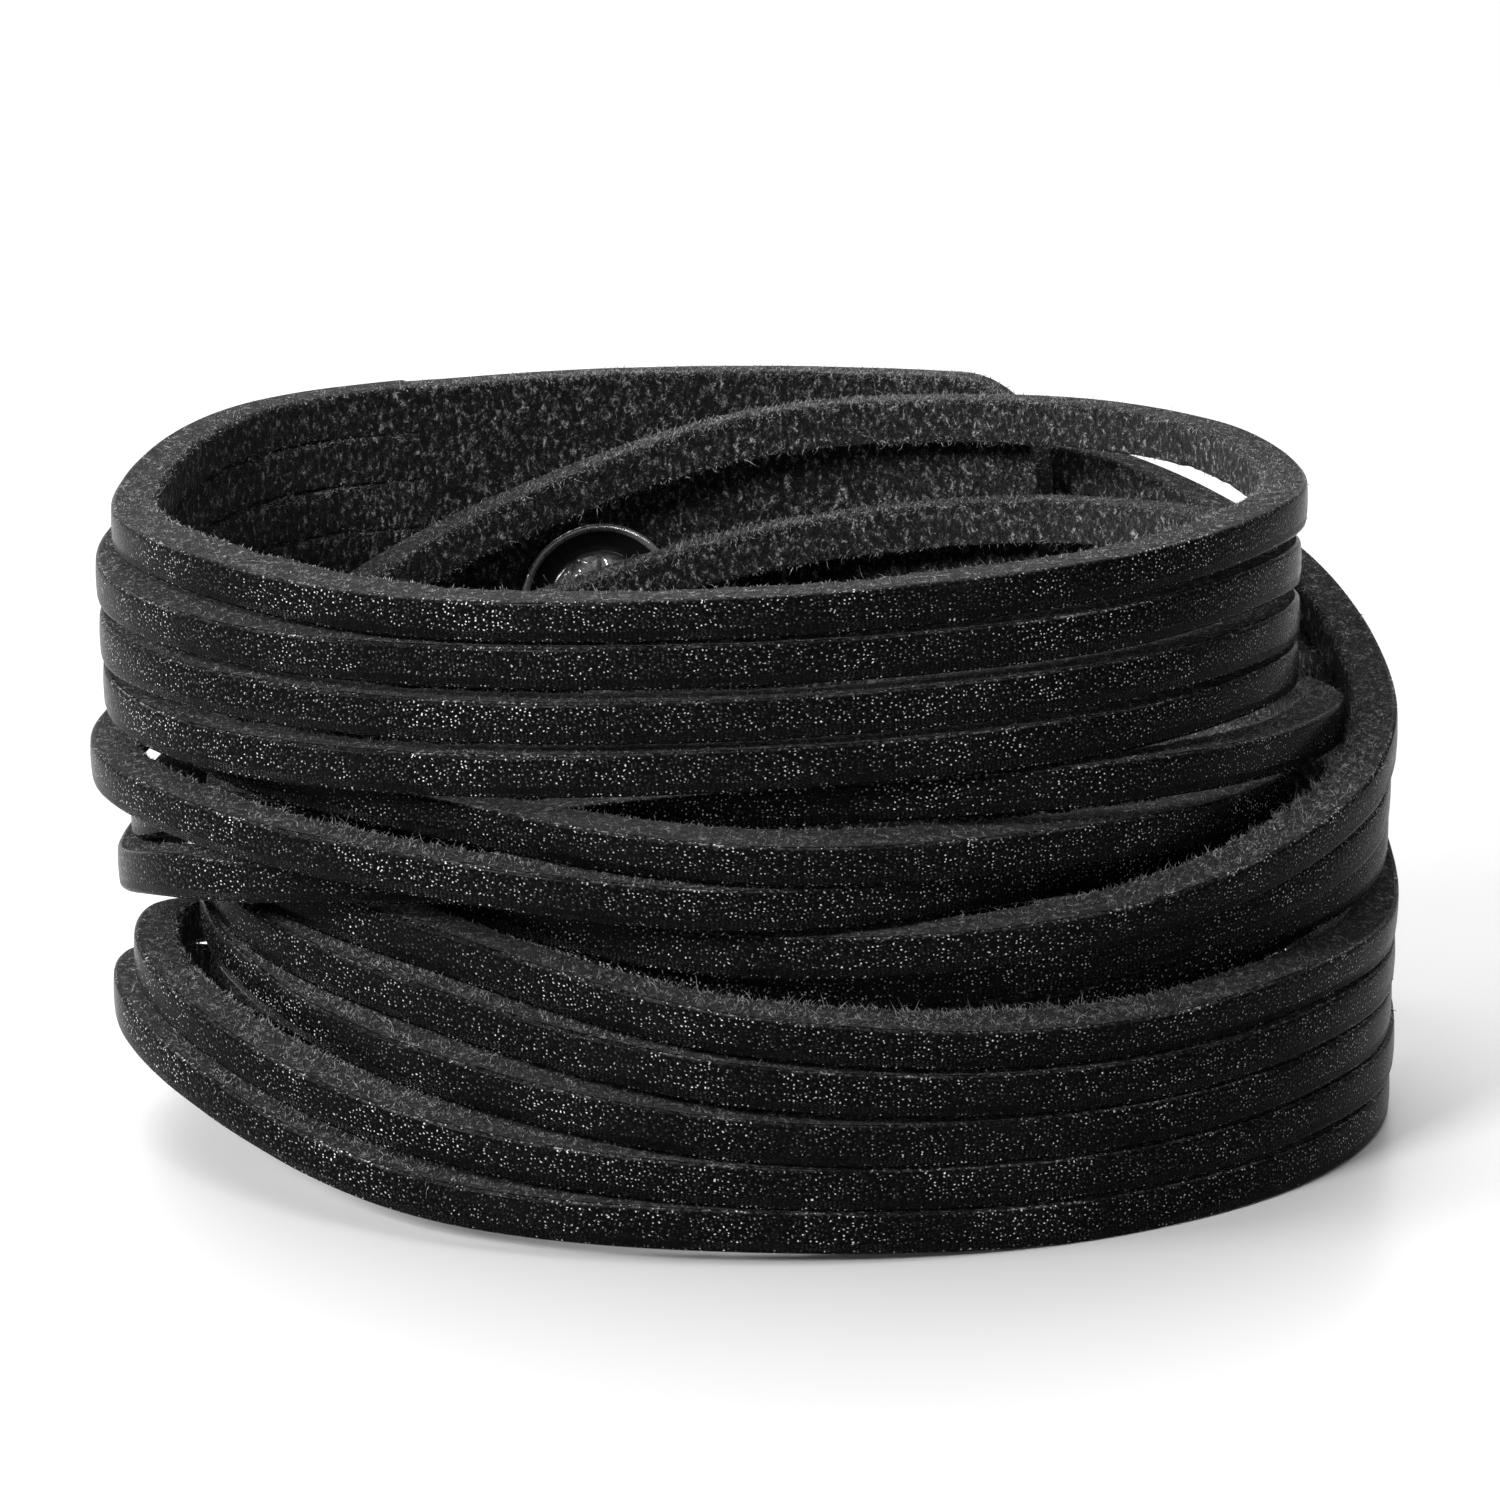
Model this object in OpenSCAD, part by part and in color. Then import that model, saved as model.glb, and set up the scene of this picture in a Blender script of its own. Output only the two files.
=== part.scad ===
// Leather wrap bracelet: one strap cut into eight strands, wound twice round the wrist.
// A whole tab closes each end, and one snap holds the outer tab on the inner tab.
// Millimetres, Z up, resting on z = 0, the front at -Y and the snap at the back.

/* [Loop] */
// Half width of the loop over its outer faces
loop_half_width = 32; // [31:0.5:34]
// Half depth of the loop over its outer faces
loop_half_depth = 26.5; // [25.5:0.5:28]
// How far forward the loop stands, so that the whole with its snap is centred on the origin
loop_forward = 0.7; // [0:0.1:1]

/* [Leather] */
// Thickness of the leather
leather_t = 2.2; // [1.8:0.1:2.2]
// Mean width of a strand
strand_w = 2.2; // [2:0.05:2.2]
// How much wider a strand is cut at the back than the mean, and narrower at the front
strand_w_swing = 0.18; // [0:0.02:0.2]
// How much wider a strand is cut where the second turn spreads out, at the front left
spread_swell = 0.2; // [0:0.02:0.3]
// Space between a strand's end and the tab that it leaves
end_gap = 0.08; // [0.05:0.01:0.2]

/* [Tabs] */
// Radius of the two rounded corners of a tab
tab_corner_r = 6; // [3:0.5:8]
// Azimuth of the inner tab's cut end, where the strands leave it
inner_tab_cut_az = 128; // [126:1:130]
// Azimuth of the inner tab's rounded end
inner_tab_round_az = 57; // [57:1:70]
// How far the inner tab's outer face lies inside the loop's outer face
inner_tab_inset = 2.55; // [2.4:0.05:2.6]
// Height of the middle of the inner tab
inner_tab_z = 23.1; // [22.9:0.1:23.2]
// Azimuth of the outer tab's cut end, where the strands reach it
outer_tab_cut_az = 55; // [54:1:56]
// Azimuth of the outer tab's rounded end
outer_tab_round_az = 124; // [115:1:124]
// How far the outer tab's outer face lies outside the loop's outer face
outer_tab_outset = 1.05; // [1.05:0.05:1.5]
// Rise of the outer tab for each degree of azimuth, as it slopes up to the left
outer_tab_rise = 0.0385; // [0.03:0.0005:0.045]

/* [Snap] */
// Azimuth of the snap's axis
snap_az = 106.8; // [100:0.1:110]
// Height of the snap's axis
snap_z = 21; // [20:0.1:22]
// Radius of the domed cap on the outside
cap_r = 6.2; // [5.5:0.1:6.5]
// Height of the dome
cap_dome = 1.3; // [0.8:0.1:1.6]
// Radius of the eyelet's flange on the inside
eyelet_r = 4.3; // [3.5:0.1:4.5]
// Radius of the socket that the cap holds
socket_r = 4.2; // [3.8:0.1:4.5]
// Radius of the stud's knob
knob_r = 1.9; // [1.6:0.1:2]
// Radius of the posts that go through the leather
post_r = 1.15; // [1:0.05:1.2]

/* [Hidden] */

strands = 8;
black_leather = [0.13, 0.13, 0.14];
grey_leather = [0.2, 0.2, 0.21];
black_metal = [0.06, 0.06, 0.07];
$fn = 72;

// Azimuth runs on round both turns: 90 back, 180 left, 270 front, 360 right, 450 back and so on.
// Each column of the tables below is one station, 30 degrees after the one before it.
first_station = 120;
station_step = 30;

// Height of the middle of each strand on its first turn, strand 1 on top.
//           120   150   180    210    240    270   300   330   360   390   420   450
height_turn_1 = [
    [32.10, 31.95, 30.40, 30.50, 30.05, 30.70, 31.30, 31.50, 31.30, 31.80, 31.60, 30.20],
    [29.53, 29.50, 27.70, 27.50, 27.80, 28.50, 28.90, 29.00, 28.10, 27.20, 26.20, 24.10],
    [26.96, 26.98, 24.80, 24.80, 25.20, 25.95, 26.40, 26.20, 25.30, 24.10, 22.90, 19.00],
    [24.39, 24.56, 22.42, 21.95, 22.60, 23.60, 24.00, 23.90, 22.80, 19.60, 16.95, 15.45],
    [21.82, 21.95, 21.00, 20.60, 20.10, 19.30, 18.95, 17.90, 17.20, 16.90, 14.45, 12.95],
    [19.25, 19.50, 18.45, 18.44, 17.90, 17.00, 16.93, 15.60, 14.80, 14.30, 11.95, 10.45],
    [16.68, 16.95, 14.95, 17.88, 18.40, 21.05, 21.75, 20.80, 19.90, 17.60, 9.45, 7.90],
    [14.11, 14.30, 12.70, 14.96, 16.65, 17.10, 14.20, 11.80, 8.40, 6.90, 6.10, 4.40]];
// The same on the second turn.
//           480   510   540    570    600    630   660   690   720   750   780
height_turn_2 = [
    [26.10, 21.80, 19.20, 15.80, 14.95, 14.50, 15.15, 17.20, 19.90, 24.90, 28.40],
    [20.60, 19.20, 15.40, 13.50, 12.45, 12.30, 13.00, 14.80, 16.90, 22.45, 25.83],
    [14.00, 8.95, 7.15, 6.75, 6.90, 9.90, 10.40, 12.25, 14.20, 20.00, 23.26],
    [13.50, 14.90, 16.10, 14.56, 13.20, 11.20, 9.83, 10.12, 10.85, 17.55, 20.69],
    [10.80, 12.50, 13.80, 12.33, 10.79, 8.65, 7.50, 7.78, 8.55, 15.10, 18.12],
    [8.10, 10.10, 11.50, 10.10, 8.22, 6.05, 5.35, 5.58, 6.28, 12.65, 15.55],
    [5.30, 6.30, 8.77, 7.95, 5.42, 3.85, 3.20, 3.40, 4.00, 10.10, 12.98],
    [1.00, 3.30, 6.43, 5.25, 2.45, 1.67, 1.00, 1.00, 1.20, 7.30, 10.41]];

// How far each strand's outer face lies outside the loop's outer face, on its first turn.
//          120    150    180    210    240    270    300    330    360    390    420    450
reach_turn_1 = [
    [-2.55, -1.00, -0.70, 0.00, 0.00, 0.00, -1.20, -3.60, -4.70, -5.00, -5.25, -5.25],
    [-2.55, -1.00, 0.20, 0.20, 0.00, 0.00, -1.20, -3.60, -5.00, -5.10, -5.25, -6.00],
    [-2.55, -1.00, 0.10, 0.10, 0.00, 0.00, -1.20, -3.60, -5.00, -5.10, -7.50, -7.65],
    [-2.55, -1.00, 0.00, 0.00, 0.00, 0.00, -1.20, -3.60, -5.00, -5.10, -5.25, -5.25],
    [-2.55, -2.90, -2.55, -2.40, -2.10, 0.00, -1.20, -3.70, -5.00, -5.10, -5.25, -5.25],
    [-2.55, -1.00, 0.70, 0.50, 0.20, 0.00, -3.10, -4.60, -5.10, -5.10, -5.25, -5.25],
    [-2.55, -1.90, -1.05, -2.55, -5.75, -2.80, -1.00, -2.60, -2.40, -2.40, -2.75, -5.25],
    [-2.55, -1.20, -0.50, -0.45, -2.72, -3.10, -5.10, -5.10, -5.10, -5.10, -5.25, -5.25]];
// The same on the second turn.
//          480    510    540    570    600    630    660    690    720    750    780
reach_turn_2 = [
    [-5.25, -5.30, -7.05, -6.50, -6.10, -1.20, 0.00, 0.00, 0.20, 0.50, 1.05],
    [-6.00, -6.55, -7.20, -6.45, -5.85, -3.10, -1.70, -0.60, 0.00, 0.50, 1.05],
    [-7.65, -7.00, -5.40, -4.00, -4.20, -2.70, -2.60, -2.10, 0.00, 0.50, 1.05],
    [-5.25, -4.40, -4.90, -4.10, -3.40, 0.10, 0.00, 0.10, 0.50, 0.60, 1.05],
    [-5.25, -4.40, -4.80, -3.60, -2.20, 0.00, 0.00, 0.10, 0.40, 0.60, 1.05],
    [-5.25, -4.40, -4.60, -3.30, -1.00, 0.00, 0.00, 0.10, 0.30, 0.60, 1.05],
    [-5.25, -4.20, -1.50, -0.40, 0.00, 0.00, 0.00, 0.10, 0.50, 0.60, 1.05],
    [-5.25, -3.80, -0.30, 0.00, 0.00, 0.00, 0.00, 0.10, 0.30, 0.50, 1.05]];

// Where a strand's top edge leans outward: strand, azimuth, degrees of lean, degrees of azimuth to nothing.
leans = [[5, 278, 11, 50], [1, 220, 10, 40], [2, 220, 10, 40], [6, 212, 6, 40], [8, 212, 6, 40],
         [4, 600, 4, 45], [5, 600, 5, 45], [6, 600, 8, 48], [7, 600, 12, 48], [8, 598, 10, 45],
         [1, 670, 12, 45], [4, 664, 13, 76]];

// Where the second turn spreads out, in azimuth, and the degrees from there to nothing.
spread_az = 602;
spread_span = 50;

// Rings along a strand and columns along a tab.
strand_rings = 108;
tab_columns = 22;

function loop_point(az) = [loop_half_width * cos(az), loop_half_depth * sin(az) - loop_forward, 0];
function loop_normal(az) =
    let (n = [cos(az) / loop_half_width, sin(az) / loop_half_depth, 0]) n / norm(n);
function loop_at(az, reach, z) = loop_point(az) + loop_normal(az) * reach + [0, 0, z];

// Smooth curve through the stations of one table row.
function between(p0, p1, p2, p3, t) =
    p1 + 0.5 * t * (p2 - p0 + t * (2 * p0 - 5 * p1 + 4 * p2 - p3 + t * (3 * (p1 - p2) + p3 - p0)));
function along(row, az) =
    let (s = (az - first_station) / station_step,
         i = max(0, min(len(row) - 2, floor(s))),
         before = row[max(0, i - 1)],
         after = row[min(len(row) - 1, i + 2)])
    between(before, row[i], row[i + 1], after, s - i);

// From 1 at an azimuth down to 0 at a distance from it.
function bump(away, span) = abs(away) < span ? (1 + cos(180 * away / span)) / 2 : 0;
function width_at(az) =
    strand_w - strand_w_swing * cos(az - 270) + spread_swell * bump(az - spread_az, spread_span);
function lean_part(l, k, az) = l[0] == k ? l[2] * bump(az - l[1], l[3]) : 0;
function lean_at(k, az) = [for (l = leans) lean_part(l, k, az)] * [for (l = leans) 1];
// A strand that would dip into the ground lies on it.
function height_at(k, az) =
    max(width_at(az) / 2, along(concat(height_turn_1[k - 1], height_turn_2[k - 1]), az));
function reach_at(k, az) = along(concat(reach_turn_1[k - 1], reach_turn_2[k - 1]), az);

// Four corners of a strand's section: outer top, outer bottom, inner bottom, inner top.
function section(k, az) =
    let (out = loop_normal(az) * cos(lean_at(k, az)) - [0, 0, sin(lean_at(k, az))],
         up = loop_normal(az) * sin(lean_at(k, az)) + [0, 0, cos(lean_at(k, az))],
         mid = loop_at(az, reach_at(k, az) - leather_t / 2, height_at(k, az)),
         o = out * leather_t / 2,
         u = up * width_at(az) / 2)
    [mid + o + u, mid + o - u, mid - o - u, mid - o + u];

// A closed solid through a row of four-cornered rings.
module tube_of(rings) {
    n = len(rings);
    sides = [for (i = [0 : n - 2], j = [0 : 3])
        let (a = 4 * i + j, b = 4 * i + (j + 1) % 4)
        each [[a, a + 4, b + 4], [a, b + 4, b]]];
    ends = [[0, 1, 2], [0, 2, 3],
            [4 * n - 4, 4 * n - 2, 4 * n - 3], [4 * n - 4, 4 * n - 1, 4 * n - 2]];
    polyhedron([for (r = rings) each r], concat(sides, ends));
}

// Degrees of azimuth that the end gap takes at the back of the loop.
end_gap_az = end_gap / loop_half_width * 180 / PI;

module strand(k) {
    from = inner_tab_cut_az + end_gap_az;
    to = 720 + outer_tab_cut_az - end_gap_az;
    color(black_leather)
        tube_of([for (i = [0 : strand_rings]) section(k, from + (to - from) * i / strand_rings)]);
}

// Half height of a tab, at an azimuth: eight strands and the cuts between them, less the round corners.
tab_half_h = (height_turn_1[0][0] - height_turn_1[strands - 1][0] + width_at(inner_tab_cut_az)) / 2;
function tab_half_at(az, round_az) =
    let (mid_az = (az + round_az) / 2,
         mm_per_radian = norm([loop_half_width * sin(mid_az), loop_half_depth * cos(mid_az)]),
         d = abs(az - round_az) * PI / 180 * mm_per_radian,
         r = tab_corner_r)
    tab_half_h - (d < r ? r - sqrt(r * r - (r - d) * (r - d)) : 0);

// Columns crowd toward the rounded end, so that its corners come out round.
function tab_az(i, cut_az, round_az) =
    round_az + (cut_az - round_az) * pow(i / tab_columns, 1.6);

module tab_plate(cut_az, round_az, reach, z, rise) {
    tube_of([for (i = [0 : tab_columns])
        let (az = tab_az(i, cut_az, round_az),
             h = tab_half_at(az, round_az),
             zc = z + (az - snap_az) * rise)
        round_az < cut_az
            ? [loop_at(az, reach, zc + h), loop_at(az, reach, zc - h),
               loop_at(az, reach - leather_t, zc - h), loop_at(az, reach - leather_t, zc + h)]
            : [loop_at(az, reach, zc - h), loop_at(az, reach, zc + h),
               loop_at(az, reach - leather_t, zc + h), loop_at(az, reach - leather_t, zc - h)]]);
}

// Puts a solid that is drawn along +Z onto the snap's axis, z = 0 on the loop's outer face.
module on_snap_axis() {
    n = loop_normal(snap_az);
    translate(loop_at(snap_az, 0, snap_z))
        rotate([0, 90, atan2(n[1], n[0])]) children();
}

// Reach of each face that the snap's parts meet.
inner_tab_in = -inner_tab_inset - leather_t;
outer_tab_in = outer_tab_outset - leather_t;
seat = 0.15;
clear = 0.06;
bore_r = post_r + 0.1;
plate_t = 0.3;

module inner_tab() {
    color(grey_leather) difference() {
        tab_plate(inner_tab_cut_az, inner_tab_round_az, -inner_tab_inset, inner_tab_z, 0);
        on_snap_axis() {
            translate([0, 0, inner_tab_in - 1]) cylinder(r = bore_r, h = leather_t + 2);
            translate([0, 0, inner_tab_in - 2]) cylinder(r = eyelet_r + 0.1, h = 2 + seat);
        }
    }
}

module outer_tab() {
    color(black_leather) difference() {
        tab_plate(outer_tab_cut_az, outer_tab_round_az, outer_tab_outset, snap_z, outer_tab_rise);
        on_snap_axis() {
            translate([0, 0, outer_tab_in - 1]) cylinder(r = bore_r, h = leather_t + 2);
            translate([0, 0, outer_tab_in - 2]) cylinder(r = socket_r + 0.1, h = 2 + seat / 2);
            translate([0, 0, outer_tab_outset - 2 * seat]) cylinder(r = cap_r + 0.1, h = 3);
        }
    }
}

// The domed cap on the outside, with its post through the leather.
module snap_cap() {
    base = outer_tab_outset - 2 * seat + clear;
    rim = 0.35;
    dome_r = (cap_r * cap_r + cap_dome * cap_dome) / (2 * cap_dome);
    color(black_metal) on_snap_axis() {
        translate([0, 0, base]) cylinder(r = cap_r, h = rim);
        translate([0, 0, base + rim]) intersection() {
            translate([0, 0, cap_dome - dome_r]) sphere(r = dome_r, $fn = 120);
            cylinder(r = cap_r, h = cap_dome + 1);
        }
        translate([0, 0, outer_tab_in - 0.15]) cylinder(r = post_r, h = base - outer_tab_in + 0.25);
    }
}

// The ring between the tabs that grips the stud.
module snap_socket() {
    top = outer_tab_in + seat / 2 - clear;
    depth = 0.9;
    color(black_metal) on_snap_axis() difference() {
        translate([0, 0, top - depth]) cylinder(r = socket_r, h = depth);
        translate([0, 0, top - depth - 1]) cylinder(r = knob_r + 0.1, h = depth + 0.8);
        translate([0, 0, top - 1]) cylinder(r = bore_r, h = 2);
    }
}

// The knob on the inner tab's outer face, hollow where the eyelet's post ends.
module snap_stud() {
    base = -inner_tab_inset + clear;
    knob_top = outer_tab_in - 0.25;
    color(black_metal) on_snap_axis() difference() {
        union() {
            translate([0, 0, base]) cylinder(r = socket_r - 0.6, h = plate_t - 0.05);
            translate([0, 0, base]) cylinder(r = knob_r, h = knob_top - base);
        }
        translate([0, 0, base - 1]) cylinder(r = bore_r, h = 1.7);
    }
}

// The flange on the inside, with its post through the leather and a hole down the middle.
module snap_eyelet() {
    base = inner_tab_in + seat - clear - plate_t;
    color(black_metal) on_snap_axis() difference() {
        union() {
            translate([0, 0, base]) cylinder(r = eyelet_r, h = plate_t);
            translate([0, 0, base]) cylinder(r = post_r, h = leather_t + plate_t + 0.3);
        }
        translate([0, 0, base - 1]) cylinder(r = 0.6, h = leather_t + 2);
    }
}

inner_tab();
outer_tab();
strand(1);  // strand_1
strand(2);  // strand_2
strand(3);  // strand_3
strand(4);  // strand_4
strand(5);  // strand_5
strand(6);  // strand_6
strand(7);  // strand_7
strand(8);  // strand_8
snap_cap();
snap_socket();
snap_stud();
snap_eyelet();
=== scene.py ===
# Leather wrap bracelet: a strap cut into eight strands, wound twice round the wrist, with a snap at the back.
# Metres, Z up, the front at -Y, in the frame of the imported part. Shapes are worked out in millimetres, and
# azimuths in degrees: 90 at the back, 180 left, 270 front, 360 right, and on round twice.

import math

import bpy
import numpy as np
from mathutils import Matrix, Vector


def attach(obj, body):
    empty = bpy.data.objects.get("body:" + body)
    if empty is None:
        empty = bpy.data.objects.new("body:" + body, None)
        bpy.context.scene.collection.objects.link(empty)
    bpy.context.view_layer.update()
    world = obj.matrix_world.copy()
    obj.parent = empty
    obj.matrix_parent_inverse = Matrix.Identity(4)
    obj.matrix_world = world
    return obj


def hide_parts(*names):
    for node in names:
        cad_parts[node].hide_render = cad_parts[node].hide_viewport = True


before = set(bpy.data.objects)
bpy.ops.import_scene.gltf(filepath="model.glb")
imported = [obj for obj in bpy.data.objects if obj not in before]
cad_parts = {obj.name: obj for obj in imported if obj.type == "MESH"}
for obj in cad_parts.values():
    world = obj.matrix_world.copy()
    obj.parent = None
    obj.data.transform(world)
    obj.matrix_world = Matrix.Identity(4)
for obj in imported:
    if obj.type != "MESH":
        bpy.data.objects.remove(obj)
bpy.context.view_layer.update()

MM = 0.001
UP = np.array([0.0, 0.0, 1.0])

# Sizes of the part, as in its source.
LOOP_HALF_WIDTH = 32.0
LOOP_HALF_DEPTH = 26.5
LOOP_FORWARD = 0.7
LEATHER_T = 2.2
STRAND_W = 2.2
STRAND_W_SWING = 0.18
SPREAD_SWELL = 0.2
SPREAD_AZ = 602.0
SPREAD_SPAN = 50.0
TAB_CORNER_R = 6.0
INNER_TAB_CUT_AZ = 128.0
INNER_TAB_ROUND_AZ = 57.0
INNER_TAB_REACH = -2.55
INNER_TAB_Z = 23.1
OUTER_TAB_CUT_AZ = 55.0
OUTER_TAB_ROUND_AZ = 124.0
OUTER_TAB_REACH = 1.05
OUTER_TAB_RISE = 0.0385
SNAP_AZ = 106.8
SNAP_Z = 21.0
CAP_R = 6.2
EYELET_R = 4.3
SOCKET_R = 4.2
PLATE_T = 0.3
SEAT = 0.15
CLEAR = 0.06

HALF_T = LEATHER_T / 2
HALF_W = STRAND_W / 2
FRONT_AZ = 270.0
NEAR_CUT_SPAN = 14.0

# Height of each strand's middle above the ground, with a station every 30 degrees.
FIRST_STATION = 120.0
STATION_STEP = 30.0
HEIGHTS = [
    [32.10, 31.95, 30.40, 30.50, 30.05, 30.70, 31.30, 31.50, 31.30, 31.80, 31.60, 30.20,
     26.10, 21.80, 19.20, 15.80, 14.95, 14.50, 15.15, 17.20, 19.90, 24.90, 28.40],
    [29.53, 29.50, 27.70, 27.50, 27.80, 28.50, 28.90, 29.00, 28.10, 27.20, 26.20, 24.10,
     20.60, 19.20, 15.40, 13.50, 12.45, 12.30, 13.00, 14.80, 16.90, 22.45, 25.83],
    [26.96, 26.98, 24.80, 24.80, 25.20, 25.95, 26.40, 26.20, 25.30, 24.10, 22.90, 19.00,
     14.00, 8.95, 7.15, 6.75, 6.90, 9.90, 10.40, 12.25, 14.20, 20.00, 23.26],
    [24.39, 24.56, 22.42, 21.95, 22.60, 23.60, 24.00, 23.90, 22.80, 19.60, 16.95, 15.45,
     13.50, 14.90, 16.10, 14.56, 13.20, 11.20, 9.83, 10.12, 10.85, 17.55, 20.69],
    [21.82, 21.95, 21.00, 20.60, 20.10, 19.30, 18.95, 17.90, 17.20, 16.90, 14.45, 12.95,
     10.80, 12.50, 13.80, 12.33, 10.79, 8.65, 7.50, 7.78, 8.55, 15.10, 18.12],
    [19.25, 19.50, 18.45, 18.44, 17.90, 17.00, 16.93, 15.60, 14.80, 14.30, 11.95, 10.45,
     8.10, 10.10, 11.50, 10.10, 8.22, 6.05, 5.35, 5.58, 6.28, 12.65, 15.55],
    [16.68, 16.95, 14.95, 17.88, 18.40, 21.05, 21.75, 20.80, 19.90, 17.60, 9.45, 7.90,
     5.30, 6.30, 8.77, 7.95, 5.42, 3.85, 3.20, 3.40, 4.00, 10.10, 12.98],
    [14.11, 14.30, 12.70, 14.96, 16.65, 17.10, 14.20, 11.80, 8.40, 6.90, 6.10, 4.40,
     1.00, 3.30, 6.43, 5.25, 2.45, 1.67, 1.00, 1.00, 1.20, 7.30, 10.41],
]
# How far each outer face lies outside the loop, at the same stations.
REACHES = [
    [-2.55, -1.00, -0.70, 0.00, 0.00, 0.00, -1.20, -3.60, -4.70, -5.00, -5.25, -5.25,
     -5.25, -5.30, -7.05, -6.50, -6.10, -1.20, 0.00, 0.00, 0.20, 0.50, 1.05],
    [-2.55, -1.00, 0.20, 0.20, 0.00, 0.00, -1.20, -3.60, -5.00, -5.10, -5.25, -6.00,
     -6.00, -6.55, -7.20, -6.45, -5.85, -3.10, -1.70, -0.60, 0.00, 0.50, 1.05],
    [-2.55, -1.00, 0.10, 0.10, 0.00, 0.00, -1.20, -3.60, -5.00, -5.10, -7.50, -7.65,
     -7.65, -7.00, -5.40, -4.00, -4.20, -2.70, -2.60, -2.10, 0.00, 0.50, 1.05],
    [-2.55, -1.00, 0.00, 0.00, 0.00, 0.00, -1.20, -3.60, -5.00, -5.10, -5.25, -5.25,
     -5.25, -4.40, -4.90, -4.10, -3.40, 0.10, 0.00, 0.10, 0.50, 0.60, 1.05],
    [-2.55, -2.90, -2.55, -2.40, -2.10, 0.00, -1.20, -3.70, -5.00, -5.10, -5.25, -5.25,
     -5.25, -4.40, -4.80, -3.60, -2.20, 0.00, 0.00, 0.10, 0.40, 0.60, 1.05],
    [-2.55, -1.00, 0.70, 0.50, 0.20, 0.00, -3.10, -4.60, -5.10, -5.10, -5.25, -5.25,
     -5.25, -4.40, -4.60, -3.30, -1.00, 0.00, 0.00, 0.10, 0.30, 0.60, 1.05],
    [-2.55, -1.90, -1.05, -2.55, -5.75, -2.80, -1.00, -2.60, -2.40, -2.40, -2.75, -5.25,
     -5.25, -4.20, -1.50, -0.40, 0.00, 0.00, 0.00, 0.10, 0.50, 0.60, 1.05],
    [-2.55, -1.20, -0.50, -0.45, -2.72, -3.10, -5.10, -5.10, -5.10, -5.10, -5.25, -5.25,
     -5.25, -3.80, -0.30, 0.00, 0.00, 0.00, 0.00, 0.10, 0.30, 0.50, 1.05],
]

# The tables that follow hold: strand, azimuth, degrees of azimuth from there to nothing, and an amount.
# Where a strand's top edge leans outward, in degrees.
LEANS = [
    (5, 278, 50, 11), (1, 220, 40, 10), (2, 220, 40, 10), (6, 212, 40, 6), (8, 212, 40, 6),
    (4, 600, 45, 4), (5, 600, 45, 5), (6, 600, 48, 8), (7, 600, 48, 12), (8, 598, 45, 10),
    (1, 670, 45, 12), (4, 664, 76, 13),
]
# Where nap fills the crack above a strand, in millimetres.
FULLER = [(8, 209, 14, 0.2), (4, 680, 14, 0.16), (1, 714, 16, 0.3)]
# Where the knife left a strand's edge woolly, and how much more fibre grows there.
WOOLLY = [
    (4, 645, 42, 2.2), (5, 600, 40, 1.2), (6, 590, 40, 1.6), (7, 590, 40, 1.4), (8, 585, 40, 1.6),
    (1, 690, 50, 1.5), (1, 450, 60, 1.4), (2, 450, 60, 1.2), (6, 250, 50, 1.0), (7, 375, 30, 2.0),
]


# Shapes that several pieces share
def smooth(t):
    """Eases a number that goes from 0 to 1."""
    return t * t * (3 - 2 * t)


def hump(away, span):
    """From 1 where away is 0 smoothly down to 0 at the span."""
    return np.where(np.abs(away) < span, (1 + np.cos(np.pi * away / span)) / 2, 0)


def unit(vectors):
    """The vectors at a length of 1."""
    return vectors / np.maximum(np.linalg.norm(vectors, axis=-1, keepdims=True), 1e-6)


def distance_along(line):
    """How far each point of a line lies from its first, along the line."""
    return np.concatenate([[0], np.cumsum(np.linalg.norm(np.diff(line, axis=0), axis=1))])


def loop_normal(az):
    a = np.radians(az)
    return unit(np.stack([np.cos(a) / LOOP_HALF_WIDTH, np.sin(a) / LOOP_HALF_DEPTH, 0 * a], -1))


def loop_at(az, reach, z):
    """The point at an azimuth and a height that lies so far outside the loop."""
    a = np.radians(az)
    x, y = LOOP_HALF_WIDTH * np.cos(a), LOOP_HALF_DEPTH * np.sin(a) - LOOP_FORWARD
    return np.stack([x, y, z + 0 * a], -1) + loop_normal(az) * np.expand_dims(reach + 0 * a, -1)


def along(row, az):
    """Smooth curve through the stations of one table row."""
    row = np.asarray(row)
    s = (az - FIRST_STATION) / STATION_STEP
    i = np.clip(np.floor(s).astype(int), 0, len(row) - 2)
    t = s - i
    p0, p1 = row[np.maximum(i - 1, 0)], row[i]
    p2, p3 = row[i + 1], row[np.minimum(i + 2, len(row) - 1)]
    square = 2 * p0 - 5 * p1 + 4 * p2 - p3
    cube = 3 * (p1 - p2) + p3 - p0
    return p1 + 0.5 * t * (p2 - p0 + t * (square + t * cube))


def local_sum(table, k, az):
    """What a table adds to strand k at each azimuth."""
    return sum(amount * hump(az - at, span) for strand, at, span, amount in table if strand == k) + 0 * az


def width_at(az):
    swell = SPREAD_SWELL * hump(az - SPREAD_AZ, SPREAD_SPAN)
    return STRAND_W - STRAND_W_SWING * np.cos(np.radians(az - FRONT_AZ)) + swell


def height_at(k, az):
    return np.maximum(width_at(az) / 2, along(HEIGHTS[k - 1], az))


def near_cut(az):
    """From 1 where the strands leave the inner tab to 0 a little farther on."""
    return 1 - smooth(np.clip((az - INNER_TAB_CUT_AZ) / NEAR_CUT_SPAN, 0, 1))


def reach_at(k, az):
    """The strand's own reach, but strand 2's where it leaves the inner tab."""
    own, shared = along(REACHES[k - 1], az), along(REACHES[1], az)
    return own + (shared - own) * near_cut(az)


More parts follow.
